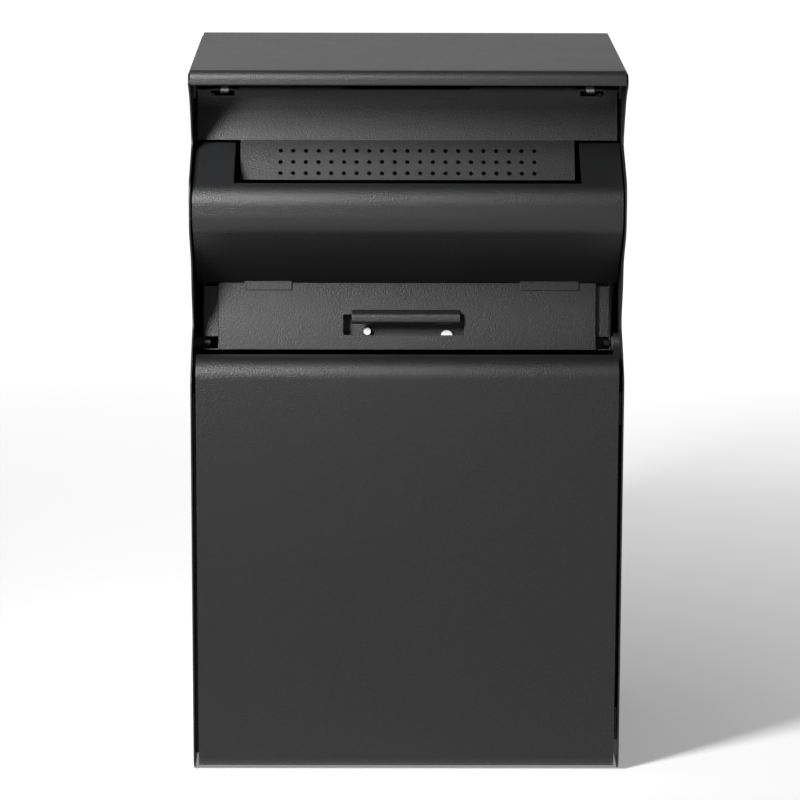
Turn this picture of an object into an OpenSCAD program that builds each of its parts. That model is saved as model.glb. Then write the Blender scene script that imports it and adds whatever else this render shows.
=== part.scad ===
// Parcel and letter drop box: folded sheet-steel shell, sprung letter flap,
// tip-out parcel hopper and a side-hung collection door.
// Millimetres, +X right, +Y back, +Z up, origin at the bottom centre of the box.

/* [Overall] */
// outside width over the two side panels
body_w = 408; // [320:1:600]
// height of the roof above the bottom edge
body_h = 674; // [600:1:900]
// depth from the door face to the back panel
body_d = 310; // [270:1:450]
// thickness of the folded sheets
sheet_t = 1.5; // [1:0.1:3]

/* [Side panels] */
// how far the waist above the hood is cut back
waist_in = 59; // [30:1:80]
// how far the waist beside the pocket is cut back
pocket_in = 52; // [30:1:80]
// radius of the bottom front corner
cheek_corner_r = 12; // [4:1:30]

/* [Roof] */
// outer radius of the front bend
roof_bend_r = 8; // [4:0.5:16]
// height of the front lip
roof_lip_h = 13.5; // [10:0.5:30]
// running gap between the roof and each side panel
roof_gap = 0.5; // [0.2:0.1:2]

/* [Door] */
// drop from the roof to the top of the door
door_drop = 272; // [250:1:330]
// radius of the top bend
door_bend_r = 20; // [8:1:30]
// radius of the bottom bend
door_foot_r = 10; // [6:1:20]
// gap between the door and each side panel
door_gap = 3.5; // [3:0.1:6]
// height of the bottom of the door
door_low = 2.5; // [2:0.1:6]

/* [Hood] */
// gap between the hood and each side panel
hood_gap = 1.6; // [1:0.1:4]
// width of the letter notch
notch_w = 325; // [260:1:360]
// upper bend radius of the roll
roll_top_r = 21; // [10:1:40]
// lower bend radius of the roll
roll_low_r = 25; // [10:1:40]

/* [Letter flap] */
// width of the perforated tongue
tongue_w = 316; // [200:1:350]
// columns of perforations
perf_cols = 21; // [5:1:25]
// rows of perforations
perf_rows = 3; // [1:1:3]
// pitch of the perforations
perf_pitch = 12; // [8:0.5:14]
// diameter of the perforations
perf_d = 4.2; // [2:0.1:6]
// diameter of the hinge rod
rod_d = 5; // [4:0.5:8]

/* [Parcel chute] */
// width of the front panel of the chute
chute_w = 361; // [300:1:370]
// lean of the front panel from upright, degrees
chute_lean = 15; // [5:1:25]
// width of the handle slot
slot_w = 115.5; // [80:0.5:160]
// height of the handle slot
slot_h = 19.5; // [14:0.5:30]
// sideways position of the handle slot
slot_x = -3; // [-20:1:20]
// width of the grip lip
lip_w = 103; // [60:1:140]
// diameter of the pivot pins
pivot_d = 8; // [6:0.5:12]
// running gap around the pivot pins
pivot_fit = 0.05; // [0.02:0.01:0.3]

/* [Lock] */
// diameter of the lock barrel
lock_d = 19; // [14:0.5:24]
// sideways position of the lock
lock_x = -178; // [-190:1:-120]

/* [Back] */
// spacing of the wall holes across
wall_x = 280; // [150:5:340]
// spacing of the wall holes up the back
wall_z = 480; // [200:10:560]
// diameter of the wall holes
wall_hole_d = 8.5; // [5:0.5:12]

/* [Hidden] */
$fn = 48;
half_w = body_w/2;
in_x = half_w - sheet_t;
back_y = body_d - sheet_t;
roof_z = body_h - sheet_t;
cheek_top = body_h - 4;
lip_low = body_h - roof_lip_h;
door_top = body_h - door_drop;
grey = [0.17, 0.175, 0.18];
steel = [0.72, 0.73, 0.74];
dark = [0.08, 0.08, 0.085];
// hinge line of the letter flap
flap_y = 95;
flap_z = body_h - 29;
// foot of the brow, where it meets the tongue
brow_y = 80;
brow_z = body_h - 75.4;
tongue_y = 54.7;
tongue_z = body_h - 109.6;
// shelf of the hood
shelf_y = 78.5;
shelf_z = body_h - 77.6;
roll_z = body_h - 105;
roll_bot = body_h - 158;
ceil_y = 81.5;
ceil_z = body_h - 213;
// pivot of the chute
piv_y = 74;
piv_z = body_h - 271;
lean_s = sin(chute_lean);
lean_c = cos(chute_lean);
// face of the chute front at the pivot height
face_y = piv_y - 9;
chute_side_x = 193;
hood_half = in_x - hood_gap;
// door
door_half = in_x - door_gap;
hinge_x = door_half - 7;
hinge_y = 7;
hinge_zs = [40, door_top - 52];
lock_y = 28;
floor_z = 16;
brow_half = in_x - 3.5;

function unit(v) = v/norm(v);
function turn(a) = a > 180 ? a - 360 : (a < -180 ? a + 360 : a);
function corner(a, b, c, r, n) = let (u = unit(a - b), v = unit(c - b), th = acos(u*v),
  m = b + unit(u + v)*r/sin(th/2), p = b + u*r/tan(th/2) - m, q = b + v*r/tan(th/2) - m,
  s = atan2(p[1], p[0]), d = turn(atan2(q[1], q[0]) - s))
  [for (k = [0:n]) m + r*[cos(s + d*k/n), sin(s + d*k/n)]];
function pt(p) = [p[0], p[1]];
function curve(P, n = 8) = [for (i = [0:len(P) - 1])
  for (q = (i == 0 || i == len(P) - 1 || P[i][2] == 0) ? [pt(P[i])]
    : corner(pt(P[i - 1]), pt(P[i]), pt(P[i + 1]), P[i][2], n)) q];
function left_of(v) = [-v[1], v[0]];
function vnorm(p, i) = let (a = i > 0 ? unit(p[i] - p[i - 1]) : unit(p[1] - p[0]),
  b = i < len(p) - 1 ? unit(p[i + 1] - p[i]) : a, h = unit(left_of(a) + left_of(b)))
  h/(h*left_of(a));
function shifted(p, t) = [for (i = [0:len(p) - 1]) p[i] + vnorm(p, i)*t];
function back_list(p) = [for (i = [len(p) - 1:-1:0]) p[i]];
function strip(p, t) = concat(p, back_list(shifted(p, t)));

module box(x0, x1, y0, y1, z0, z1) {
  translate([x0, y0, z0]) cube([x1 - x0, y1 - y0, z1 - z0]);
}
module across(x0, x1) {
  translate([x0, 0, 0]) rotate([90, 0, 90]) linear_extrude(x1 - x0) children();
}
module rod_x(x0, x1, y, z, r) {
  translate([x0, y, z]) rotate([0, 90, 0]) cylinder(h = x1 - x0, r = r);
}
module rod_y(x, y0, y1, z, r) {
  translate([x, y1, z]) rotate([90, 0, 0]) cylinder(h = y1 - y0, r = r);
}
module rod_z(x, y, z0, z1, r) {
  translate([x, y, z0]) cylinder(h = z1 - z0, r = r);
}
module placed() {
  translate([0, -body_d/2, 0]) children();
}
// local frame of the leaning chute front: y = 0 on its visible face, z up the face
module on_face() {
  translate([0, face_y, piv_z]) rotate([-chute_lean, 0, 0]) children();
}

// wavy front edge of a side panel, from the foot to the roof
cheek_edge = curve([[30, 0, 0], [0, 0, cheek_corner_r], [0, piv_z - 21, 9], [21, piv_z - 1, 26],
  [pocket_in + 4, piv_z + 25, 15], [40, piv_z + 55, 60], [33, body_h - 183, 30],
  [0, body_h - 150, 24], [0, body_h - 107, 20], [waist_in + 5, body_h - 76, 9],
  [waist_in - 12, body_h - 50, 60], [30, body_h - 28, 60], [1.5, body_h - 12, 4],
  [10, cheek_top, 3], [20, cheek_top, 0]], 8);
cheek_shape = concat(cheek_edge, [[back_y - 0.3, cheek_top], [back_y - 0.3, 0]]);

module cheek(s) {
  across(s > 0 ? in_x : -half_w, s > 0 ? half_w : -in_x) polygon(cheek_shape);
  x0 = s > 0 ? in_x - 14 : -in_x;
  // return flange that the back panel is riveted to
  box(x0, x0 + 14, back_y - sheet_t, back_y, 30, cheek_top - 30);
}
module side_left() {
  color(grey) placed() difference() {
    cheek(-1);
    for (z = rivet_zs) rod_y(-in_x + 8, back_y - 5, back_y + 1, z, 1.65);
  }
}
module side_right() {
  color(grey) placed() difference() {
    cheek(1);
    for (z = rivet_zs) rod_y(in_x - 8, back_y - 5, back_y + 1, z, 1.65);
  }
}
rivet_zs = [60, 200, 340, 480, 610];
shell_rivet_xs = [-in_x + 8, in_x - 8];

roof_half = in_x - roof_gap;
roof_line = curve([[back_y, roof_z - 22, 0], [back_y, body_h, 3], [3, body_h, roof_bend_r],
  [3, lip_low, 1.6], [8, lip_low, 0]], 10);
module roof() {
  color(grey) placed() {
    across(-roof_half, roof_half) polygon(strip(roof_line, sheet_t));
    for (s = [-1, 1]) roof_flange(s);
  }
}
module roof_flange(s) {
  x0 = s > 0 ? roof_half - sheet_t : -roof_half;
  box(x0, x0 + sheet_t, 12, back_y - 1.5, body_h - 9, body_h - 1);
}

module back_panel() {
  color(grey) placed() difference() {
    box(-in_x + 0.3, in_x - 0.3, back_y, body_d, 6, body_h - 24);
    for (x = [-wall_x/2, wall_x/2]) for (z = [90, 90 + wall_z])
      rod_y(x, back_y - 1, body_d + 1, z, wall_hole_d/2);
    for (x = shell_rivet_xs) for (z = rivet_zs) rod_y(x, back_y - 1, body_d + 1, z, 1.65);
  }
}
module floor_plate() {
  color(grey) placed() difference() {
    union() {
      box(-in_x + 0.3, in_x - 0.3, 50, back_y, floor_z, floor_z + sheet_t);
      box(-in_x + 0.3, in_x - 0.3, 50, 50 + sheet_t, floor_z, floor_z + 16);
      for (s = [-1, 1]) translate([s > 0 ? in_x - 0.3 - sheet_t : -in_x + 0.3, 52, floor_z])
        cube([sheet_t, back_y - 56, 16]);
    }
    for (x = [-130, 0, 130]) rod_z(x, 150, floor_z - 1, floor_z + 3, 5);
  }
}
module drain_grommets() {
  color(dark) placed() for (x = [-130, 0, 130]) difference() {
    union() {
      rod_z(x, 150, floor_z - 1.5, floor_z + sheet_t + 1.5, 5);
      rod_z(x, 150, floor_z - 1.5, floor_z, 7.5);
      rod_z(x, 150, floor_z + sheet_t, floor_z + sheet_t + 1.5, 7.5);
    }
    rod_z(x, 150, floor_z - 3, floor_z + 5, 3);
  }
}
// door stop behind the free edge of the door
module jamb_left() {
  color(grey) placed() {
    box(-in_x, -in_x + sheet_t, 18, 40, 12, door_top - 36);
    box(-in_x, -188, 18, 18 + sheet_t, 12, door_top - 36);
  }
}
module jamb_right() {
  color(grey) placed() {
    box(in_x - sheet_t, in_x, 34, 60, 60, door_top - 75);
    box(186, in_x, 34, 34 + sheet_t, 60, door_top - 75);
  }
}
// rail across the box behind the top of the door
module sill_rail() {
  color(grey) placed() {
    box(-in_x + 0.3, in_x - 0.3, 32, 32 + sheet_t, door_top - 34, door_top - 4);
    box(-in_x + 0.3, in_x - 0.3, 32, 54, door_top - 34, door_top - 34 + sheet_t);
    for (s = [-1, 1]) translate([s > 0 ? in_x - 0.3 - sheet_t : -in_x + 0.3, 32, door_top - 34])
      cube([sheet_t, 22, 30]);
  }
}
module door_seal() {
  color(dark) placed() {
    box(-200, -191, 14.5, 18, 40, door_top - 40);
  }
}
module shell_rivets() {
  color(steel) placed() for (x = shell_rivet_xs) for (z = rivet_zs) {
    rod_y(x, back_y - sheet_t - 1.8, body_d, z, 1.6);
    rod_y(x, back_y - sheet_t - 1.8, back_y - sheet_t, z, 3.2);
  }
}
module wall_washers() {
  color(dark) placed() for (x = [-wall_x/2, wall_x/2]) for (z = [90, 90 + wall_z]) difference() {
    rod_y(x, back_y - 2, back_y, z, 11);
    rod_y(x, back_y - 3, body_d, z, wall_hole_d/2);
  }
}
// plate behind the letter flap that turns letters down into the box
module letter_catcher() {
  color(grey) placed() {
    across(-150, 150) polygon(strip(curve([[back_y, body_h - 60, 0], [back_y, body_h - 40, 0],
      [190, body_h - 40, 30], [175, body_h - 80, 0]], 8), sheet_t));
  }
}

// letter flap and its hinge
module ear(s) {
  x0 = s > 0 ? in_x - 2 : -in_x;
  difference() {
    union() {
      box(x0, x0 + 2, flap_y - 12, flap_y + 30, flap_z - 7, body_h - 21);
      rod_x(x0, x0 + 2, flap_y, flap_z, 9);
    }
    rod_x(x0 - 1, x0 + 3, flap_y, flap_z, rod_d/2);
  }
}
module rod_brackets() {
  color(grey) placed() for (s = [-1, 1]) ear(s);
}
module hinge_rod() {
  color(steel) placed() rod_x(-in_x, in_x, flap_y, flap_z, rod_d/2);
}
module rod_clips() {
  color(steel) placed() for (x = [-in_x + 2, in_x - 3]) difference() {
    rod_x(x, x + 1, flap_y, flap_z, rod_d/2 + 2);
    rod_x(x - 1, x + 2, flap_y, flap_z, rod_d/2);
  }
}
barrel_r = rod_d/2 + 0.1;
flap_line = curve([[flap_y - barrel_r - 1.4, flap_z, 0], [92.3, body_h - 36.2, 0],
  [brow_y, brow_z, 2], [tongue_y, tongue_z, 0]], 6);
brow_line = [[flap_y - barrel_r - 1.4, flap_z], [92.3, body_h - 36.2], [brow_y, brow_z]];
module letter_flap() {
  color(grey) placed() difference() {
    union() {
      across(-brow_half, brow_half) polygon(strip(brow_line, 1.4));
      across(-tongue_w/2, tongue_w/2) polygon(strip(flap_line, 1.4));
      for (s = [-1, 1]) barrel(s > 0 ? 60 : -160, s > 0 ? 160 : -60);
    }
    perforations();
    for (s = [-1, 1]) box(s > 0 ? 164 : -186, s > 0 ? 186 : -164, 88, 105, flap_z - 7, flap_z + 9);
  }
}
module barrel(x0, x1) {
  difference() {
    rod_x(x0, x1, flap_y, flap_z, barrel_r + 1.4);
    rod_x(x0 - 1, x1 + 1, flap_y, flap_z, barrel_r);
  }
}
tongue_a = atan2(brow_y - tongue_y, brow_z - tongue_z);
module perforations() {
  translate([0, tongue_y, tongue_z]) rotate([-tongue_a, 0, 0])
    for (i = [0:perf_cols - 1]) for (j = [0:perf_rows - 1])
      rod_y((i - (perf_cols - 1)/2)*perf_pitch, -4, 4, 7 + j*perf_pitch, perf_d/2);
}
module flap_springs() {
  color(steel) placed() for (s = [-1, 1]) {
    for (k = [0:5]) coil(s*(170 + k*1.5));
    box(s > 0 ? 169.3 : -170.7, s > 0 ? 170.7 : -169.3, flap_y + 3.1, flap_y + 4.5, flap_z, roof_z);
  }
}
module coil(x) {
  translate([x, flap_y, flap_z]) rotate([0, 90, 0]) rotate_extrude() translate([3.5, 0]) circle(r = 0.8);
}
module flap_buffers() {
  color(dark) placed() for (s = [-1, 1])
    rod_x(s > 0 ? in_x - 8 : -in_x, s > 0 ? in_x : -in_x + 8, 106.8, flap_z - 20, 4);
}

// parcel chute: one tilting unit
hood_line = curve([[shelf_y, shelf_z, 0], [0.6, shelf_z - 36.2, roll_top_r],
  [0.6, roll_bot + 12, roll_low_r], [ceil_y, ceil_z, 0]], 12);
module hood() {
  color(grey) placed() difference() {
    union() {
      across(-hood_half, hood_half) polygon(strip(hood_line, sheet_t));
      hood_tab(-155, -110);
      hood_tab(108, 164);
    }
    box(-notch_w/2, notch_w/2, 16, shelf_y + 2, body_h - 112, body_h - 60);
  }
}
module hood_tab(x0, x1) {
  on_face() box(x0, x1, -1.5, 0, 53, 61.5);
}
module chute_front() {
  color(grey) placed() on_face() difference() {
    union() {
      box(-chute_w/2, chute_w/2, 0, sheet_t, -4, 60);
      for (s = [-1, 1]) translate([s > 0 ? chute_w/2 - 1.2 : -chute_w/2, 0, 0])
        cube([1.2, 4, 60]);
    }
    box(slot_x - slot_w/2, slot_x + slot_w/2, -1, 3, slot_z, slot_z + slot_h);
  }
}
slot_z = 10;
module grip_lip() {
  color(grey) placed() on_face() across(slot_x + 2 - lip_w/2, slot_x + 2 + lip_w/2)
    polygon(strip(curve([[0, slot_z + slot_h + 4.5, 0], [-1.3, slot_z + slot_h + 4.5, 0],
      [-7.5, slot_z + slot_h - 0.5, 5], [-7, slot_z + slot_h - 9, 3], [-3, slot_z + slot_h - 9, 0]], 6), 1.1));
}
module grip_cup() {
  color(grey) placed() on_face() difference() {
    box(slot_x - slot_w/2 - 8, slot_x + slot_w/2 + 8, sheet_t, 13, slot_z - 8, slot_z + slot_h + 8);
    box(slot_x - slot_w/2 - 6, slot_x + slot_w/2 + 6, 0, 11.5, slot_z - 6.5, slot_z + slot_h + 3);
  }
}
module grip_plugs() {
  color([0.9, 0.9, 0.88]) placed() on_face() {
    translate([-38, 0, 0]) plug(3.4, slot_z + 4);
    translate([38, 0, 0]) plug(5.6, slot_z - 0.5);
  }
}
module plug(r, z) {
  rod_y(0, 6, 11.5, z, r);
}
side_shape = concat([[piv_y - 6, piv_z - 5], [face_y + 5.7, piv_z + 2],
  [face_y + 5.7 + 56*lean_s, piv_z + 56*lean_c]], back_list(shifted(hood_line, sheet_t + 0.1)),
  [[shelf_y, shelf_z - 14], [125, body_h - 150], [238, piv_z - 95], [236, piv_z - 109],
  [piv_y + 8, piv_z - 7]]);
module chute_side(s) {
  x0 = s > 0 ? chute_side_x : -chute_side_x - sheet_t;
  difference() {
    union() {
      across(x0, x0 + sheet_t) polygon(side_shape);
      on_face() box(s > 0 ? 172 : -chute_side_x, s > 0 ? chute_side_x : -172, 4, 5.4, 9, 57);
    }
    rod_x(x0 - 1, x0 + 3, piv_y, piv_z, pivot_d/2);
    on_face() for (z = [14, 46]) rod_y(s*176, 3, 6, z, 1.6);
  }
}
module chute_side_left() {
  color(grey) placed() chute_side(-1);
}
module chute_side_right() {
  color(grey) placed() chute_side(1);
}
chute_line = curve([[face_y + 1.5, piv_z - 4.5, 0], [piv_y + 6, piv_z - 13, 8],
  [238, piv_z - 112, 0]], 8);
module chute_floor() {
  color(grey) placed() {
    across(-chute_side_x, chute_side_x) polygon(strip(chute_line, 1.2));
    on_face() box(-150, 150, sheet_t, sheet_t + 1.2, -4.2, 1.5);
  }
}
module pivot_pins() {
  color(steel) placed() for (s = [-1, 1]) {
    rod_x(s > 0 ? chute_side_x - 5 : -in_x + 0.5, s > 0 ? in_x - 0.5 : -chute_side_x + 5, piv_y, piv_z, pivot_d/2);
    rod_x(s > 0 ? chute_side_x - 5 : -chute_side_x, s > 0 ? chute_side_x : -chute_side_x + 5, piv_y, piv_z, 6);
  }
}
module pivot_bushes() {
  color([0.85, 0.83, 0.75]) placed() for (s = [-1, 1]) difference() {
    union() {
      rod_x(s > 0 ? 196.5 : -in_x + 0.5, s > 0 ? in_x - 0.5 : -196.5, piv_y, piv_z, pivot_d/2 + 1.5);
      rod_x(s > 0 ? 195.5 : -197, s > 0 ? 197 : -195.5, piv_y, piv_z, pivot_d/2 + 3.5);
    }
    rod_x(s > 0 ? 190 : -in_x - 1, s > 0 ? in_x + 1 : -190, piv_y, piv_z, pivot_d/2 + pivot_fit);
  }
}
module pivot_brackets() {
  color(grey) placed() for (s = [-1, 1]) difference() {
    union() {
      box(s > 0 ? 197 : -in_x, s > 0 ? in_x : -197, piv_y - 11, piv_y + 11, piv_z - 34, piv_z);
      rod_x(s > 0 ? 197 : -in_x, s > 0 ? in_x : -197, piv_y, piv_z, 11);
    }
    rod_x(s > 0 ? 190 : -in_x + 0.5, s > 0 ? in_x - 0.5 : -190, piv_y, piv_z, pivot_d/2 + 1.5);
  }
}
module chute_rivets() {
  color(steel) placed() on_face() for (x = [-176, 176]) for (z = [14, 46]) {
    rod_y(x, 1.5, 7, z, 1.6);
    rod_y(x, 5.4, 7, z, 3);
  }
}
module chute_buffers() {
  color(dark) placed() for (s = [-1, 1])
    rod_x(s > 0 ? in_x - 18 : -in_x, s > 0 ? in_x : -in_x + 18, 218.65, piv_z - 107.5, 6);
}

// collection door
door_line = curve([[38, door_low, 0], [0, door_low, door_foot_r], [0, door_top, door_bend_r],
  [27, door_top, 0]], 12);
module door_panel() {
  color(grey) placed() difference() {
    union() {
      across(-door_half, door_half) polygon(strip(door_line, -sheet_t));
      box(-door_half, -door_half + 1.2, 1, 12, door_low + 12, door_top - 22);
      box(door_half - 1.2, door_half, 1, 12, hinge_zs[0] + 24, hinge_zs[1] - 24);
    }
    rod_z(lock_x, lock_y, -1, 10, lock_d/2 + 0.1);
  }
}
module door_stiffener() {
  color(grey) placed() across(-150, 150) polygon([[sheet_t, 180], [13, 180], [13, 220], [sheet_t, 220],
    [sheet_t, 218.8], [11.8, 218.8], [11.8, 181.2], [sheet_t, 181.2]]);
}
module door_leaves() {
  color(steel) placed() for (z = hinge_zs) difference() {
    union() {
      box(hinge_x - 34, hinge_x, sheet_t, sheet_t + 1.6, z - 16, z);
      rod_z(hinge_x, hinge_y, z - 16, z, 4.6);
      box(hinge_x - 4.6, hinge_x, sheet_t, hinge_y, z - 16, z);
    }
    rod_z(hinge_x, hinge_y, z - 17, z + 1, 3);
  }
}
module door_bushes() {
  color([0.85, 0.83, 0.75]) placed() for (z = hinge_zs) difference() {
    rod_z(hinge_x, hinge_y, z - 16, z, 3);
    rod_z(hinge_x, hinge_y, z - 17, z + 1, 2.05);
  }
}
module door_brackets() {
  color(steel) placed() for (z = hinge_zs) difference() {
    union() {
      rod_z(hinge_x, hinge_y, z + 0.4, z + 3, 4.6);
      box(hinge_x - 4.6, hinge_x + 3.4, hinge_y, 30, z + 0.4, z + 3);
      box(hinge_x - 4.6, in_x, 18, 30, z + 0.4, z + 3);
      box(in_x - 2, in_x, 18, 33, z - 14, z + 18);
    }
    rod_z(hinge_x, hinge_y, z, z + 4, 2);
  }
}
module door_pins() {
  color(steel) placed() for (z = hinge_zs) {
    rod_z(hinge_x, hinge_y, z - 15, z + 0.4, 2);
    rod_z(hinge_x, hinge_y, z + 3, z + 5, 3.4);
    rod_z(hinge_x, hinge_y, z + 0.4, z + 3, 2);
  }
}
module bracket_screws() {
  color(steel) placed() for (z = hinge_zs) for (d = [-9, 12]) {
    rod_x(in_x - 4, in_x - 2, 25.5, z + d, 3);
  }
}
module lock_barrel() {
  color(steel) placed() difference() {
    union() {
      rod_z(lock_x, lock_y, door_low, 22, lock_d/2);
      rod_z(lock_x, lock_y, door_low - 1.7, door_low, lock_d/2 + 2.5);
    }
    rod_z(lock_x, lock_y, -1, 23, 6.05);
  }
}
module lock_nut() {
  color(steel) placed() difference() {
    rod_z(lock_x, lock_y, door_low + sheet_t, door_low + sheet_t + 4, lock_d/2 + 3);
    rod_z(lock_x, lock_y, 0, 12, lock_d/2);
  }
}
module lock_plug() {
  color(steel) placed() difference() {
    union() {
      rod_z(lock_x, lock_y, door_low - 1.5, 22.4, 6);
      box(lock_x - 3, lock_x + 3, lock_y - 3, lock_y + 3, 22.4, 25);
    }
    box(lock_x - 0.7, lock_x + 0.7, lock_y - 4, lock_y + 4, door_low - 3, door_low + 10);
  }
}
module lock_cam() {
  color(steel) placed() difference() {
    union() {
      rod_z(lock_x, lock_y, 22.4, 25, 7);
      box(lock_x - 6, lock_x + 6, lock_y, lock_y + 20, 22.4, 25);
    }
    box(lock_x - 3, lock_x + 3, lock_y - 3, lock_y + 3, 22, 26);
  }
}
module cam_screw() {
  color(steel) placed() rod_z(lock_x, lock_y, 25, 28, 5);
}

side_left();
side_right();
roof();
back_panel();
floor_plate();
jamb_left();
jamb_right();
sill_rail();
door_seal();
shell_rivets();
wall_washers();
drain_grommets();
letter_catcher();
rod_brackets();
hinge_rod();
rod_clips();
flap_springs();
letter_flap();
flap_buffers();
pivot_brackets();
hood();
chute_front();
grip_lip();
grip_cup();
grip_plugs();
chute_side_left();
chute_side_right();
chute_floor();
pivot_pins();
pivot_bushes();
chute_rivets();
chute_buffers();
door_panel();
door_stiffener();
door_leaves();
door_brackets();
door_pins();
door_bushes();
bracket_screws();
lock_barrel();
lock_nut();
lock_plug();
lock_cam();
cam_screw();
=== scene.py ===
"""Visual model of a wall-fixed parcel and letter box of folded, powder-coated sheet steel."""

import math

import bmesh
import bpy
import numpy as np
from bpy.props import FloatProperty, FloatVectorProperty, PointerProperty
from mathutils import Matrix, Vector


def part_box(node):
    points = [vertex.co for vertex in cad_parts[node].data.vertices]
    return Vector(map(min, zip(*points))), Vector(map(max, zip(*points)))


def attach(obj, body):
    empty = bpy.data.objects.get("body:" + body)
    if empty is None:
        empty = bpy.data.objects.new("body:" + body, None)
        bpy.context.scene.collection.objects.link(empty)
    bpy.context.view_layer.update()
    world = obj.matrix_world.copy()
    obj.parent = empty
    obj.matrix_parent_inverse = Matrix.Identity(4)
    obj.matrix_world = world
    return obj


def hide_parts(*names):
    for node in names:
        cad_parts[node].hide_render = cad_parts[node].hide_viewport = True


bl_info = {
    "name": "Parcel Drop Box",
    "version": (1, 0, 0),
    "blender": (4, 5, 0),
    "location": "View3D > Sidebar > Parcel Box",
    "description": "Builds a folded sheet-steel parcel and letter box around its frame",
    "category": "Object",
}

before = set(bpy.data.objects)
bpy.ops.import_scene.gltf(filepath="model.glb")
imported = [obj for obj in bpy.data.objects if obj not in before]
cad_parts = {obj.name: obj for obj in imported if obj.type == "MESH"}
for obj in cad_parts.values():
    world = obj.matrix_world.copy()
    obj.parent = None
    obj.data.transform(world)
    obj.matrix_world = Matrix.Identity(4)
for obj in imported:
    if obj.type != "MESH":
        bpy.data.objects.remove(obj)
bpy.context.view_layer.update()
MM = 0.001

# sizes in millimetres: the outer ones are read from the frame's nodes, the others are the part's own
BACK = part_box("back_panel")[1].y / MM
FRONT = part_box("side_left")[0].y / MM
SHELL_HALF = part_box("side_right")[1].x / MM
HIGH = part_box("roof")[1].z / MM
DEPTH = BACK - FRONT
SHEET = 1.5
IN_X = SHELL_HALF - SHEET
BACK_Y = DEPTH - SHEET
CHEEK_TOP = HIGH - 4
PIVOT_Y = 74
PIVOT_Z = HIGH - 271
DOOR_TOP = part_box("door_panel")[1].z / MM
DOOR_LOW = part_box("door_panel")[0].z / MM
DOOR_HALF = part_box("door_panel")[1].x / MM
ROOF_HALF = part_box("roof")[1].x / MM
HOOD_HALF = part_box("hood")[1].x / MM
BROW_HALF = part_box("letter_flap")[1].x / MM
LEAN = math.radians(15)
FLAP_Y = 95
FLAP_Z = HIGH - 29
FACE_Y = PIVOT_Y - 9


# ---- sheet metal as a flat pattern folded along a profile ----


def rounded(points, n):
    """A profile: straight runs between (y, z, r) points, each corner swapped for an arc of radius r.
    The arc's centre lies r/sin(half angle) along the corner's bisector."""
    out = []
    for i, (y, z, r) in enumerate(points):
        b = np.array([y, z], float)
        if r == 0 or i in (0, len(points) - 1):
            out.append(b[None])
            continue
        a, c = np.array(points[i - 1][:2], float), np.array(points[i + 1][:2], float)
        u, v = (a - b) / np.linalg.norm(a - b), (c - b) / np.linalg.norm(c - b)
        half = math.acos(np.clip(u @ v, -1, 1)) / 2
        centre = b + (u + v) / np.linalg.norm(u + v) * r / math.sin(half)
        p = b + u * r / math.tan(half) - centre
        q = b + v * r / math.tan(half) - centre
        start = math.atan2(p[1], p[0])
        turn = (math.atan2(q[1], q[0]) - start + math.pi) % (2 * math.pi) - math.pi
        t = start + turn * np.linspace(0, 1, n + 1)
        out.append(centre + r * np.column_stack([np.cos(t), np.sin(t)]))
    return np.vstack(out)


def lengths(path):
    """Distance along a profile at each of its points."""
    return np.concatenate([[0], np.cumsum(np.linalg.norm(np.diff(path, axis=0), axis=1))])


def folded(x, s, path):
    """A flat pattern point (x, s) goes to the profile's point at length s, carried to x."""
    at = lengths(path)
    return np.column_stack([x, np.interp(s, at, path[:, 0]), np.interp(s, at, path[:, 1])])


def lines(low, high, step, extra=()):
    """Grid lines from low to high, about step apart, that also pass through the extra values."""
    stops = np.unique(np.round([low, high, *[e for e in extra if low < e < high]], 6))
    runs = [np.linspace(a, b, max(1, math.ceil((b - a) / step)) + 1) for a, b in zip(stops[:-1], stops[1:])]
    return np.unique(np.round(np.concatenate(runs), 6))


def grid_quads(columns, rows):
    """Quads of a grid of points that is stored row by row."""
    i = (np.arange(columns - 1)[None] + columns * np.arange(rows - 1)[:, None]).ravel()
    return np.column_stack([i, i + 1, i + columns + 1, i + columns])


def flat_cells(xs, ss, gaps=()):
    """Quads of the grid xs by ss whose middle is in none of the (x0, x1, s0, s1) gaps."""
    gx, gs = np.meshgrid(xs, ss)
    quads = grid_quads(len(xs), len(ss))
    mx = gx.ravel()[quads].mean(1)
    ms = gs.ravel()[quads].mean(1)
    keep = np.ones(len(quads), bool)
    for x0, x1, s0, s1 in gaps:
        keep &= ~((mx > x0) & (mx < x1) & (ms > s0) & (ms < s1))
    return np.column_stack([gx.ravel(), gs.ravel()]), quads[keep]


def pierced_cells(cx, cs, pitch, radius, side=6):
    """A square of the flat pattern with a round hole, at each centre (cx, cs).
    A ring of 4*side points on the circle is joined to as many points on the square."""
    e = np.linspace(-0.5, 0.5, side + 1)[:-1]
    square = np.vstack(
        [
            np.column_stack([e, np.full(side, -0.5)]),
            np.column_stack([np.full(side, 0.5), e]),
            np.column_stack([-e, np.full(side, 0.5)]),
            np.column_stack([np.full(side, -0.5), -e]),
        ]
    )
    ring = square / np.linalg.norm(square, axis=1)[:, None] * radius
    n = len(square)
    one = np.vstack([square * pitch, (square * pitch + ring) / 2 * 0.86 + ring * 0.14, ring])
    k = np.arange(n)
    nxt = (k + 1) % n
    quads = np.vstack(
        [
            np.column_stack([k, nxt, n + nxt, n + k]),
            np.column_stack([n + k, n + nxt, 2 * n + nxt, 2 * n + k]),
        ]
    )
    centres = np.column_stack([cx, cs])
    points = (centres[:, None] + one[None]).reshape(-1, 2)
    faces = (quads[None] + (np.arange(len(centres)) * len(one))[:, None, None]).reshape(-1, 4)
    return points, faces


def placed(points):
    """From the drawing's frame, y measured back from the door face, to the row frame in metres."""
    return (np.asarray(points, float) + [0, -DEPTH / 2, 0]) * MM


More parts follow.
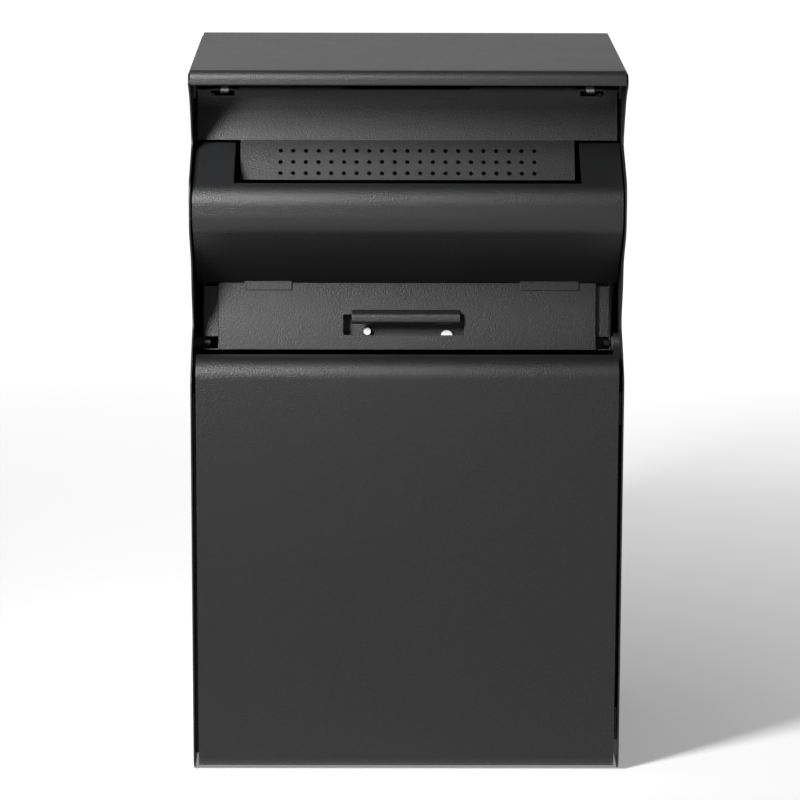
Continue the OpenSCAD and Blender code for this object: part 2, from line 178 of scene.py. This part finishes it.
def on_face(points):
    """From the leaning chute front's own frame, y = 0 on its face, to the drawing's frame."""
    x, y, z = np.asarray(points, float).T
    c, s = math.cos(LEAN), math.sin(LEAN)
    return np.column_stack([x, FACE_Y + y * c + z * s, PIVOT_Z - y * s + z * c])


def join(parts):
    """Several (points, faces) sets as one."""
    points, faces, n = [], [], 0
    for p, f in parts:
        points.append(p)
        faces.append(np.asarray(f) + n)
        n += len(p)
    return np.vstack(points), np.vstack(faces)


def make_piece(name, points, faces, body, nodes, slot, material, wall=0.0, edge=0.3):
    """Puts the arrays into a mesh, gives the sheet its thickness and soft edges, and rides it on its body."""
    mesh = bpy.data.meshes.new(name)
    mesh.from_pydata(placed(points).tolist(), [], np.asarray(faces).tolist())
    bm = bmesh.new()
    bm.from_mesh(mesh)
    bmesh.ops.remove_doubles(bm, verts=bm.verts, dist=0.00002)
    bmesh.ops.dissolve_degenerate(bm, edges=bm.edges, dist=0.000002)
    loose = [v for v in bm.verts if not v.link_faces]
    bmesh.ops.delete(bm, geom=loose, context="VERTS")
    bm.to_mesh(mesh)
    bm.free()
    mesh.polygons.foreach_set("use_smooth", np.ones(len(mesh.polygons), bool))
    mesh.update()
    obj = bpy.data.objects.new(name, mesh)
    bpy.context.scene.collection.objects.link(obj)
    mesh.materials.append(material)
    if wall:
        thick = obj.modifiers.new("sheet", "SOLIDIFY")
        thick.thickness = wall * MM
        thick.offset = -1
        thick.use_even_offset = True
    if edge:
        soft = obj.modifiers.new("edge", "BEVEL")
        soft.width = edge * MM
        soft.segments = 2
        soft.limit_method = "ANGLE"
        soft.angle_limit = math.radians(50)
        soft.harden_normals = True
    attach(obj, body)
    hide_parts(*nodes)
    return obj


def strip_part(path, x0, x1, step_x, gaps=(), flip=False, xtra=(), sextra=(), step_s=40):
    """The part of a sheet that follows a whole profile between x0 and x1."""
    at = lengths(path)
    xs = lines(x0, x1, step_x, [v for g in gaps for v in g[:2]] + list(xtra))
    ss = lines(0, at[-1], step_s, list(at[1:-1]) + [v for g in gaps for v in g[2:]] + list(sextra))
    flat, quads = flat_cells(xs, ss, gaps)
    if flip:
        quads = quads[:, ::-1]
    return folded(flat[:, 0], flat[:, 1], path), quads


def tube(path, radius, n=12):
    """A round wire: each point of the path gets a circle in the plane square to its run, from a side
    vector square to X, and the ends are closed with a ring of quads round a small centre ring."""
    run = np.gradient(path, axis=0)
    run /= np.linalg.norm(run, axis=1)[:, None]
    side = np.cross(run, [1.0, 0, 0])
    side /= np.linalg.norm(side, axis=1)[:, None]
    up = np.cross(run, side)
    t = np.linspace(0, 2 * math.pi, n + 1)[:-1]
    rings = (
        path[:, None]
        + radius * (side[:, None] * np.cos(t)[None, :, None] + up[:, None] * np.sin(t)[None, :, None])
    )
    points = rings.reshape(-1, 3)
    k = np.arange(n)
    nxt = (k + 1) % n
    base = (np.arange(len(path) - 1) * n)[:, None]
    quads = np.stack([base + k, base + nxt, base + n + nxt, base + n + k], -1).reshape(-1, 4)
    caps, extra = [], []
    for end, order in ((0, -1), (len(path) - 1, 1)):
        first = len(points) + sum(len(e) for e in extra)
        extra.append(path[end][None] + (rings[end] - path[end]) * 0.02)
        a, b = end * n + k, first + k
        quad = np.column_stack([a, end * n + nxt, first + nxt, b])
        caps.append(quad if order == 1 else quad[:, ::-1])
    return np.vstack([points, *extra]), np.vstack([quads, *caps])


# ---- materials ----


def new_material(name):
    material = bpy.data.materials.new(name)
    material.use_nodes = True
    tree = material.node_tree
    return material, tree, tree.nodes["Principled BSDF"]


def noise(tree, scale, detail=3.0, roughness=0.55):
    where = tree.nodes.new("ShaderNodeTexCoord")
    n = tree.nodes.new("ShaderNodeTexNoise")
    n.inputs["Scale"].default_value = scale
    n.inputs["Detail"].default_value = detail
    n.inputs["Roughness"].default_value = roughness
    tree.links.new(where.outputs["Object"], n.inputs["Vector"])
    return n.outputs["Fac"]


def ramp(tree, value, stops):
    """A colour ramp over (place, colour) stops."""
    r = tree.nodes.new("ShaderNodeValToRGB")
    elements = r.color_ramp.elements
    elements[0].position, elements[1].position = stops[0][0], stops[-1][0]
    for at, _ in stops[1:-1]:
        elements.new(at)
    for element, (_, colour) in zip(elements, stops):
        element.color = (*colour, 1)
    tree.links.new(value, r.inputs["Fac"])
    return r.outputs["Color"]


def bump(tree, shader, heights):
    """Adds one bump after another from (height, strength, distance in metres)."""
    before = None
    for height, strength, distance in heights:
        b = tree.nodes.new("ShaderNodeBump")
        b.inputs["Strength"].default_value = strength
        b.inputs["Distance"].default_value = distance
        tree.links.new(height, b.inputs["Height"])
        if before:
            tree.links.new(before, b.inputs["Normal"])
        before = b.outputs["Normal"]
    tree.links.new(before, shader.inputs["Normal"])


def grey_range(tree, value, low, high, a=0.3, b=0.7):
    """A value's range a..b stretched to low..high."""
    m = tree.nodes.new("ShaderNodeMapRange")
    for key, number in (("From Min", a), ("From Max", b), ("To Min", low), ("To Max", high)):
        m.inputs[key].default_value = number
    tree.links.new(value, m.inputs["Value"])
    return m.outputs["Result"]


def powder_coat(name, colour):
    """Fine-textured satin powder coat: a grain of about 1.4 mm with small bright flecks over a slow mottle."""
    material, tree, shader = new_material(name)
    dark, light = [c * 0.72 for c in colour], [c * 1.34 for c in colour]
    grain = noise(tree, 720, 4, 0.62)
    mottle = noise(tree, 38, 3)
    tree.links.new(
        ramp(tree, grain, [(0.33, dark), (0.5, colour), (0.66, light), (0.76, [c * 2.1 for c in colour])]),
        shader.inputs["Base Color"],
    )
    tree.links.new(grey_range(tree, mottle, 0.43, 0.45), shader.inputs["Roughness"])
    shader.inputs["Specular IOR Level"].default_value = 0.5
    bump(tree, shader, [(mottle, 0.02, 0.0004), (grain, 0.8, 0.0006)])
    return material


def zinc(name, colour):
    """Zinc-plated steel: pale metal with a faint cloud and a fine brushed grain."""
    material, tree, shader = new_material(name)
    cloud = noise(tree, 160, 4)
    tree.links.new(
        ramp(tree, cloud, [(0.3, [c * 0.82 for c in colour]), (0.7, [min(1, c * 1.12) for c in colour])]),
        shader.inputs["Base Color"],
    )
    shader.inputs["Metallic"].default_value = 1.0
    tree.links.new(grey_range(tree, cloud, 0.28, 0.42), shader.inputs["Roughness"])
    bump(tree, shader, [(noise(tree, 2600, 2), 0.08, 0.00005)])
    return material


def moulded(name, colour, roughness, grain):
    """A moulded plastic or rubber: one colour, slightly uneven, with a fine moulded grain."""
    material, tree, shader = new_material(name)
    cloud = noise(tree, 220, 3)
    tree.links.new(
        ramp(tree, cloud, [(0.3, [c * 0.85 for c in colour]), (0.7, [min(1, c * 1.08) for c in colour])]),
        shader.inputs["Base Color"],
    )
    tree.links.new(grey_range(tree, cloud, roughness - 0.05, roughness + 0.06), shader.inputs["Roughness"])
    bump(tree, shader, [(noise(tree, grain, 3), 0.1, 0.00008)])
    return material


MADE = set()  # names of the finishes this script has made


def finish_material(kind):
    """The box's finish of that kind, made once. The frame brings its own plain materials under the
    slots' names, so each finish has a name of its own."""
    name = "finish_" + kind
    if name in bpy.data.materials:
        if name not in MADE:
            raise RuntimeError(f"the file already has a material named {name}")
        return bpy.data.materials[name]
    MADE.add(name)
    looks = bpy.context.scene.parcel_box_looks
    if kind == "powder_coat":
        return powder_coat(name, list(looks.coat_colour))
    if kind == "plated_steel":
        return zinc(name, list(looks.zinc_colour))
    # painted shade: the zinc darkened to near black, for fittings that must sit as dark as the shade in the
    # gaps round them
    if kind == "painted_shade_steel":
        return zinc(name, [c * 0.06 for c in looks.zinc_colour])
    if kind == "nylon":
        return moulded(name, list(looks.nylon_colour), 0.5, 1500)
    return moulded(name, list(looks.rubber_colour), 0.75, 1800)


# ---- settings ----


class ParcelBoxSizes(bpy.types.PropertyGroup):
    edge_softness: FloatProperty(
        name="Edge softness",
        description="Width of the rounded edge on cut sheet, in millimetres",
        default=0.3, min=0.05, max=0.7,
    )
    wire: FloatProperty(
        name="Spring wire",
        description="Radius of the flap springs' wire, in millimetres",
        default=0.8, min=0.3, max=1.2,
    )
    floor_size: FloatProperty(
        name="Floor size", description="Side of the studio floor", default=60.0, unit="LENGTH",
    )


class ParcelBoxLooks(bpy.types.PropertyGroup):
    coat_colour: FloatVectorProperty(
        name="Coat colour",
        description="Powder coat on every folded sheet",
        subtype="COLOR", size=3, default=(0.006, 0.0062, 0.0067), min=0, max=1,
    )
    zinc_colour: FloatVectorProperty(
        name="Zinc colour",
        description="Plated springs, rivets, screws and lock",
        subtype="COLOR", size=3, default=(0.62, 0.63, 0.64), min=0, max=1,
    )
    nylon_colour: FloatVectorProperty(
        name="Nylon colour",
        description="Door bushes and grip plugs",
        subtype="COLOR", size=3, default=(0.6, 0.6, 0.59), min=0, max=1,
    )
    rubber_colour: FloatVectorProperty(
        name="Rubber colour",
        description="Buffers, seal, washers and grommets",
        subtype="COLOR", size=3, default=(0.03, 0.03, 0.03), min=0, max=1,
    )
    key_power: FloatProperty(
        name="Key light",
        description="Power of the light from the upper left",
        default=12.0, subtype="POWER",
    )
    room_light: FloatProperty(
        name="Room light", description="Even light from all round", default=0.15, min=0, max=2,
    )
    rear_power: FloatProperty(
        name="Rear light",
        description="Power of the soft light behind that grazes the roof",
        default=1.9, subtype="POWER",
    )


def sizes():
    return bpy.context.scene.parcel_box_sizes


# ---- pieces ----

CHEEK_EDGE = [
    (0, 0, 0), (0, 12, 0), (0, PIVOT_Z - 21, 9), (21, PIVOT_Z - 1, 26), (56, PIVOT_Z + 25, 15),
    (40, PIVOT_Z + 55, 60), (33, HIGH - 183, 30), (0, HIGH - 150, 24), (0, HIGH - 107, 20),
    (64, HIGH - 76, 9), (47, HIGH - 50, 60), (30, HIGH - 28, 60), (1.5, HIGH - 12, 4), (10, CHEEK_TOP, 3),
]
ROOF_LINE = [
    (BACK_Y, HIGH - SHEET - 22, 0), (BACK_Y, HIGH, 3), (3, HIGH, 8), (3, HIGH - 13.5, 1.6),
    (8, HIGH - 13.5, 0),
]
HOOD_LINE = [
    (78.5, HIGH - 77.6, 0), (0.6, HIGH - 113.8, 21), (0.6, HIGH - 146, 25), (81.5, HIGH - 213, 0),
]
FLAP_LINE = [(FLAP_Y - 4, FLAP_Z, 0), (92.3, HIGH - 36.2, 0), (80, HIGH - 75.4, 2), (54.7, HIGH - 109.6, 0)]
DOOR_LINE = [(38, DOOR_LOW, 0), (0, DOOR_LOW, 10), (0, DOOR_TOP, 20), (27, DOOR_TOP, 0)]
CHUTE_LINE = [(FACE_Y + 1.5, PIVOT_Z - 4.5, 0), (PIVOT_Y + 6, PIVOT_Z - 13, 8), (238, PIVOT_Z - 112, 0)]
LIP_LINE = [(0, 34, 0), (-1.3, 34, 0), (-7.5, 29, 5), (-7, 20.5, 3), (-3, 20.5, 0)]


class PARCELBOX_OT_sides(bpy.types.Operator):
    """Makes the two side panels: a ruled surface from the wavy front edge straight back to the rear edge"""

    bl_idname = "parcelbox.sides"
    bl_label = "Side panels"

    def execute(self, context):
        foot = rounded([(30, 0, 0), (0, 0, 12), (0, 40, 0)], 10)[1:-1]
        edge = np.vstack([foot, rounded(CHEEK_EDGE, 14)[2:]])
        edge = edge[np.concatenate([[True], np.diff(edge[:, 1]) > 1e-4])]
        # fill the long straight runs so that no quad is a long sliver
        at = lengths(edge)
        s = lines(0, at[-1], 14, at[1:-1])
        edge = np.column_stack([np.interp(s, at, edge[:, 0]), np.interp(s, at, edge[:, 1])])
        share = np.linspace(0, 1, 15)[None]
        y = edge[:, :1] * (1 - share) + (BACK_Y - 0.3) * share
        z = np.repeat(edge[:, 1:], share.shape[1], 1)
        quads = grid_quads(share.shape[1], len(edge))
        for sign, name in ((-1, "side_left"), (1, "side_right")):
            x = np.full(y.size, sign * SHELL_HALF)
            panel = np.column_stack([x, y.ravel(), z.ravel()])
            outer = quads if sign > 0 else quads[:, ::-1]
            # rear return flange, 14 mm wide, facing the back panel
            xs = lines(IN_X - 14, IN_X, 7)
            zs = lines(30, CHEEK_TOP - 30, 30)
            flat, cells = flat_cells(xs, zs)
            flange = np.column_stack([sign * flat[:, 0], np.full(len(flat), BACK_Y), flat[:, 1]])
            cells = cells[:, ::-1] if sign > 0 else cells
            points, faces = join([(panel, outer), (flange, cells)])
            make_piece(name + "_sheet", points, faces, "shell", [name], "powder_coat",
                       finish_material("powder_coat"), SHEET, sizes().edge_softness)
        return {"FINISHED"}


class PARCELBOX_OT_roof(bpy.types.Operator):
    """Makes the roof: the rear drop, top and front lip as one profile carried across, with side flanges"""

    bl_idname = "parcelbox.roof"
    bl_label = "Roof"

    def execute(self, context):
        path = rounded(ROOF_LINE, 14)
        parts = [strip_part(path, -ROOF_HALF, ROOF_HALF, 34, flip=True)]
        for sign in (-1, 1):
            flat, cells = flat_cells(lines(12, BACK_Y - 1.5, 40), lines(HIGH - 9, HIGH - 1, 4))
            parts.append((np.column_stack([np.full(len(flat), sign * ROOF_HALF), flat]),
                          cells if sign > 0 else cells[:, ::-1]))
        make_piece("roof_sheet", *join(parts), "shell", ["roof"], "powder_coat",
                   finish_material("powder_coat"), SHEET, sizes().edge_softness)
        return {"FINISHED"}


class PARCELBOX_OT_hood(bpy.types.Operator):
    """Makes the hood: shelf, front roll and ceiling as one profile, with the letter notch cut in its pattern,
    and two tabs"""

    bl_idname = "parcelbox.hood"
    bl_label = "Hood"

    def execute(self, context):
        path = rounded(HOOD_LINE, 16)
        at = lengths(path)
        shelf = slice(0, 2)
        notch_s = float(np.interp(-16, -path[shelf, 0], at[shelf]))
        parts = [strip_part(path, -HOOD_HALF, HOOD_HALF, 34, gaps=[(-162.5, 162.5, -1, notch_s)], flip=True)]
        for x0, x1 in ((-155, -110), (108, 164)):
            flat, cells = flat_cells(lines(x0, x1, 15), lines(53, 61.5, 5))
            tab = on_face(np.column_stack([flat[:, 0], np.full(len(flat), -1.5), flat[:, 1]]))
            parts.append((tab, cells))
        make_piece("hood_sheet", *join(parts), "chute", ["hood"], "powder_coat",
                   finish_material("powder_coat"), SHEET, sizes().edge_softness)
        return {"FINISHED"}


class PARCELBOX_OT_flap(bpy.types.Operator):
    """Makes the letter flap: brow and tongue as one folded pattern, the tongue pierced by three rows of round
    holes, with a curled barrel round the hinge rod on each side"""

    bl_idname = "parcelbox.flap"
    bl_label = "Letter flap"

    def execute(self, context):
        path = rounded(FLAP_LINE, 10)
        at = lengths(path)
        end = at[-1]
        fold = np.array(FLAP_LINE[2][:2])
        brow_end = float(np.linalg.norm(path[1] - path[0]) + np.linalg.norm(fold - path[1]))
        pitch, columns, rows = 12, 21, 3
        half_field = columns * pitch / 2
        field = (-half_field, half_field, end - 1 - rows * pitch, end - 1)
        # the tongue is narrower than the brow, and the brow is notched at each spring
        tongue, spring_in, spring_out = 158, 164, 186
        gaps = [
            (-BROW_HALF - 1, -tongue, brow_end, end + 1), (tongue, BROW_HALF + 1, brow_end, end + 1),
            field, (spring_in, spring_out, -1, 6), (-spring_out, -spring_in, -1, 6),
        ]
        xs = np.unique(np.concatenate([
            lines(-half_field, half_field, 2),
            lines(-BROW_HALF, -half_field, 12, (-spring_out, -spring_in, -tongue)),
            lines(half_field, BROW_HALF, 12, (tongue, spring_in, spring_out)),
        ]))
        ss = np.unique(np.concatenate([
            lines(0, field[2], 12, [*at[1:-1], 6, brow_end]), lines(field[2], field[3], 2), [end]]))
        flat, quads = flat_cells(xs, np.round(ss, 6), gaps)
        cx, cs = np.meshgrid((np.arange(columns) - (columns - 1) / 2) * pitch,
                             field[2] + pitch / 2 + np.arange(rows) * pitch)
        holes = pierced_cells(cx.ravel(), cs.ravel(), pitch, 2.1)
        parts = [
            (folded(flat[:, 0], flat[:, 1], path), quads[:, ::-1]),
            (folded(holes[0][:, 0], holes[0][:, 1], path), holes[1][:, ::-1]),
        ]
        t = np.linspace(math.radians(-172), math.radians(176), 40)
        curl = np.column_stack([FLAP_Y + 4 * np.cos(t), FLAP_Z + 4 * np.sin(t)])
        for x0, x1 in ((-160, -60), (60, 160)):
            parts.append(strip_part(curl[::-1], x0, x1, 25))
        make_piece("letter_flap_sheet", *join(parts), "flap", ["letter_flap"], "powder_coat",
                   finish_material("powder_coat"), 1.4, 0.22)
        return {"FINISHED"}


class PARCELBOX_OT_springs(bpy.types.Operator):
    """Makes the two flap springs: a helix round the hinge rod, x rising evenly with the turn angle, and a
    straight leg up to the roof"""

    bl_idname = "parcelbox.springs"
    bl_label = "Flap springs"

    def execute(self, context):
        wire = sizes().wire
        turns = 5
        t = np.linspace(0, 2 * math.pi * turns, 20 * turns + 1)
        parts = []
        for sign in (-1, 1):
            x = sign * (169.5 + 8 * t / t[-1])
            coil = np.column_stack([x, FLAP_Y + 3.5 * np.cos(t), FLAP_Z + 3.5 * np.sin(t)])
            leg = np.column_stack([np.full(12, sign * 169.5), np.full(12, FLAP_Y + 3.5),
                                   np.linspace(HIGH - SHEET - 0.1, FLAP_Z + 1, 12)])
            parts.append(tube(np.vstack([leg, coil]), wire))
        make_piece("flap_spring_wire", *join(parts), "shell", ["flap_springs"], "plated_steel",
                   finish_material("plated_steel"), edge=0)
        return {"FINISHED"}


class PARCELBOX_OT_chute(bpy.types.Operator):
    """Makes the chute front with its grip slot, the curled grip lip and the sloping chute floor"""

    bl_idname = "parcelbox.chute"
    bl_label = "Chute front and floor"

    def execute(self, context):
        coat, soft = finish_material("powder_coat"), sizes().edge_softness
        slot_x, slot_half = -3, 57.75
        slot = (slot_x - slot_half, slot_x + slot_half, 10, 29.5)
        xs = lines(-180.5, 180.5, 20, slot[:2])
        zs = lines(-4, 60, 12, slot[2:])
        flat, cells = flat_cells(xs, zs, [slot])
        front = on_face(np.column_stack([flat[:, 0], np.zeros(len(flat)), flat[:, 1]]))
        parts = [(front, cells)]
        for sign in (-1, 1):
            edge, quads = flat_cells(lines(0, 4, 2), lines(0, 60, 15))
            side = on_face(np.column_stack([np.full(len(edge), sign * 180.5), edge]))
            parts.append((side, quads if sign > 0 else quads[:, ::-1]))
        make_piece("chute_front_sheet", *join(parts), "chute", ["chute_front"], "powder_coat",
                   coat, 1.4, soft)
        lip = rounded(LIP_LINE, 10)
        points, faces = strip_part(lip, -52.5, 50.5, 12, flip=True)
        make_piece("grip_lip_sheet", on_face(points), faces, "chute", ["grip_lip"], "powder_coat",
                   coat, 1.1, 0.25)
        floor = rounded(CHUTE_LINE, 12)
        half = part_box("chute_floor")[1].x / MM
        points, faces = strip_part(floor, -half, half, 35, flip=True)
        make_piece("chute_floor_sheet", points, faces, "chute", ["chute_floor"], "powder_coat",
                   coat, 1.2, soft)
        return {"FINISHED"}


class PARCELBOX_OT_door(bpy.types.Operator):
    """Makes the collection door: the bottom return, face and top roll as one profile carried across, with
    a round hole for the lock in the bottom return and a short return down each side"""

    bl_idname = "parcelbox.door"
    bl_label = "Collection door"

    def execute(self, context):
        path = rounded(DOOR_LINE, 18)
        lock_x, lock_y, hole, cell = -178, 28, 9.6, 20
        # the pattern starts at the rear edge of the bottom return, so the hole lies this far along it
        lock_s = DOOR_LINE[0][0] - lock_y
        x0, x1, s0, s1 = (lock_x - cell / 2, lock_x + cell / 2, lock_s - cell / 2, lock_s + cell / 2)
        parts = [strip_part(path, -DOOR_HALF, DOOR_HALF, 30, gaps=[(x0, x1, s0, s1)],
                            xtra=np.linspace(x0, x1, 7)[1:-1], sextra=np.linspace(s0, s1, 7)[1:-1])]
        flat, cells = pierced_cells(np.array([lock_x]), np.array([lock_s]), cell, hole)
        parts.append((folded(flat[:, 0], flat[:, 1], path), cells))
        for sign, low, high in ((-1, DOOR_LOW + 12, DOOR_TOP - 22), (1, 64, DOOR_TOP - 76)):
            flat, cells = flat_cells(lines(1, 12, 5), lines(low, high, 30))
            side = np.column_stack([np.full(len(flat), sign * DOOR_HALF), flat])
            parts.append((side, cells if sign > 0 else cells[:, ::-1]))
        make_piece("door_sheet", *join(parts), "door", ["door_panel"], "powder_coat",
                   finish_material("powder_coat"), SHEET, sizes().edge_softness)
        return {"FINISHED"}


class PARCELBOX_OT_fittings(bpy.types.Operator):
    """Gives every frame node that stays visible its finish: coat, zinc, zinc darkened to near black as painted
    shade, nylon or rubber
    """

    bl_idname = "parcelbox.fittings"
    bl_label = "Fittings"

    finishes = {
        "plated_steel": (
            "chute_rivets", "shell_rivets", "door_pins", "bracket_screws", "lock_barrel", "lock_nut",
            "lock_plug", "lock_cam", "cam_screw",
        ),
        # painted shade: the hinge rod, clips, pivot pins, door leaves and brackets get near-black steel so
        # they show as dark as the shade in the gaps round them
        "painted_shade_steel": ("hinge_rod", "rod_clips", "pivot_pins", "door_leaves", "door_brackets"),
        "nylon": ("grip_plugs", "door_bushes"),
        "rubber": (
            "pivot_bushes", "flap_buffers", "chute_buffers", "door_seal", "wall_washers", "drain_grommets",
        ),
    }

    def execute(self, context):
        by_node = {node: kind for kind, nodes in self.finishes.items() for node in nodes}
        unknown = set(by_node) - set(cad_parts)
        if unknown:
            raise RuntimeError(f"no such nodes: {sorted(unknown)}")
        for node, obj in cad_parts.items():
            material = finish_material(by_node.get(node, "powder_coat"))
            obj.data.materials.clear()
            obj.data.materials.append(material)
        return {"FINISHED"}


# each light's place, aim, width and height in metres
KEY = ((-0.64, -0.80, 1.10), (-0.16, -0.12, 0.74), 0.22, 0.62)
REAR = ((-0.3, 2.2, 1.35), (0, 0, 0.67), 2.4, 0.9)
LIGHT_SPREAD = math.radians(100)

# the floor glows a little more with distance from the box: metres, then strengths
GLOW = (("From Min", 0.3), ("From Max", 2.2), ("To Min", 0.26), ("To Max", 0.92))

CAMERA_PLACE = (-0.02943, -3.682, 1.12628)
CAMERA_RIGHT = (0.99997945, -0.00580157, 0.00272957)
CAMERA_UP = (-0.0014421, 0.21129866, 0.97742048)
CAMERA_AHEAD = (0.00624733, 0.97740433, -0.21128595)
SENSOR_MM, LENS_MM = 36, 172.673


class PARCELBOX_OT_stage(bpy.types.Operator):
    """Makes the flat pale floor, the even room light, two soft lights and the camera"""

    bl_idname = "parcelbox.stage"
    bl_label = "Stage, lights and camera"

    def execute(self, context):
        scene, looks = context.scene, context.scene.parcel_box_looks
        half = sizes().floor_size / 2
        xs, ys = np.linspace(-half, half, 9), np.array([-half, -2, 2, half])
        gx, gy = np.meshgrid(xs, ys)
        points = np.column_stack([gx.ravel(), gy.ravel(), np.zeros(gx.size)])
        mesh = bpy.data.meshes.new("studio_floor")
        mesh.from_pydata(points.tolist(), [], grid_quads(len(xs), len(ys)).tolist())
        floor = bpy.data.objects.new("studio_floor", mesh)
        scene.collection.objects.link(floor)
        material, tree, shader = new_material("studio_white")
        shader.inputs["Base Color"].default_value = (0.9, 0.9, 0.9, 1)
        shader.inputs["Roughness"].default_value = 0.9
        shader.inputs["Specular IOR Level"].default_value = 0.1
        shader.inputs["Emission Color"].default_value = (1, 1, 1, 1)
        where = tree.nodes.new("ShaderNodeTexCoord")
        reach = tree.nodes.new("ShaderNodeVectorMath")
        reach.operation = "LENGTH"
        fade = tree.nodes.new("ShaderNodeMapRange")
        for key, number in GLOW:
            fade.inputs[key].default_value = number
        tree.links.new(where.outputs["Object"], reach.inputs[0])
        tree.links.new(reach.outputs["Value"], fade.inputs["Value"])
        tree.links.new(fade.outputs["Result"], shader.inputs["Emission Strength"])
        mesh.materials.append(material)

        world = bpy.data.worlds.new("studio")
        world.use_nodes = True
        background = world.node_tree.nodes["Background"]
        background.inputs["Color"].default_value = (1, 1, 1, 1)
        background.inputs["Strength"].default_value = looks.room_light
        scene.world = world
        scene.view_settings.view_transform = "Standard"

        for name, (place, target, wide, tall), power in (
            ("key", KEY, looks.key_power), ("rear", REAR, looks.rear_power),
        ):
            data = bpy.data.lights.new(name, "AREA")
            data.shape, data.size, data.size_y, data.energy = "RECTANGLE", wide, tall, power
            data.spread = LIGHT_SPREAD
            light = bpy.data.objects.new(name, data)
            light.location = place
            light.rotation_euler = (Vector(target) - Vector(place)).to_track_quat("-Z", "Y").to_euler()
            scene.collection.objects.link(light)

        data = bpy.data.cameras.new("camera")
        data.sensor_width, data.lens = SENSOR_MM, LENS_MM
        data.clip_end = 100
        camera = bpy.data.objects.new("camera", data)
        turn = Matrix((CAMERA_RIGHT, CAMERA_UP, -Vector(CAMERA_AHEAD))).transposed().to_4x4()
        camera.matrix_world = Matrix.Translation(CAMERA_PLACE) @ turn
        scene.collection.objects.link(camera)
        scene.camera = camera
        return {"FINISHED"}


PIECE_OPERATORS = (
    PARCELBOX_OT_fittings, PARCELBOX_OT_sides, PARCELBOX_OT_roof, PARCELBOX_OT_hood, PARCELBOX_OT_flap,
    PARCELBOX_OT_springs, PARCELBOX_OT_chute, PARCELBOX_OT_door, PARCELBOX_OT_stage,
)


class PARCELBOX_PT_panel(bpy.types.Panel):
    """Lists the box's sizes, colours and pieces"""

    bl_idname = "PARCELBOX_PT_panel"
    bl_label = "Parcel Box"
    bl_space_type = "VIEW_3D"
    bl_region_type = "UI"
    bl_category = "Parcel Box"

    def draw(self, context):
        column = self.layout.column()
        for group in (context.scene.parcel_box_sizes, context.scene.parcel_box_looks):
            for name in group.__annotations__:
                column.prop(group, name)
        for operator in PIECE_OPERATORS:
            column.operator(operator.bl_idname)


CLASSES = (ParcelBoxSizes, ParcelBoxLooks, *PIECE_OPERATORS, PARCELBOX_PT_panel)


def register():
    for c in CLASSES:
        bpy.utils.register_class(c)
    bpy.types.Scene.parcel_box_sizes = PointerProperty(type=ParcelBoxSizes)
    bpy.types.Scene.parcel_box_looks = PointerProperty(type=ParcelBoxLooks)


def unregister():
    del bpy.types.Scene.parcel_box_looks
    del bpy.types.Scene.parcel_box_sizes
    for c in reversed(CLASSES):
        bpy.utils.unregister_class(c)


def main():
    register()
    for operator in PIECE_OPERATORS:
        group, name = operator.bl_idname.split(".")
        getattr(getattr(bpy.ops, group), name)()


if __name__ == "__main__":
    main()
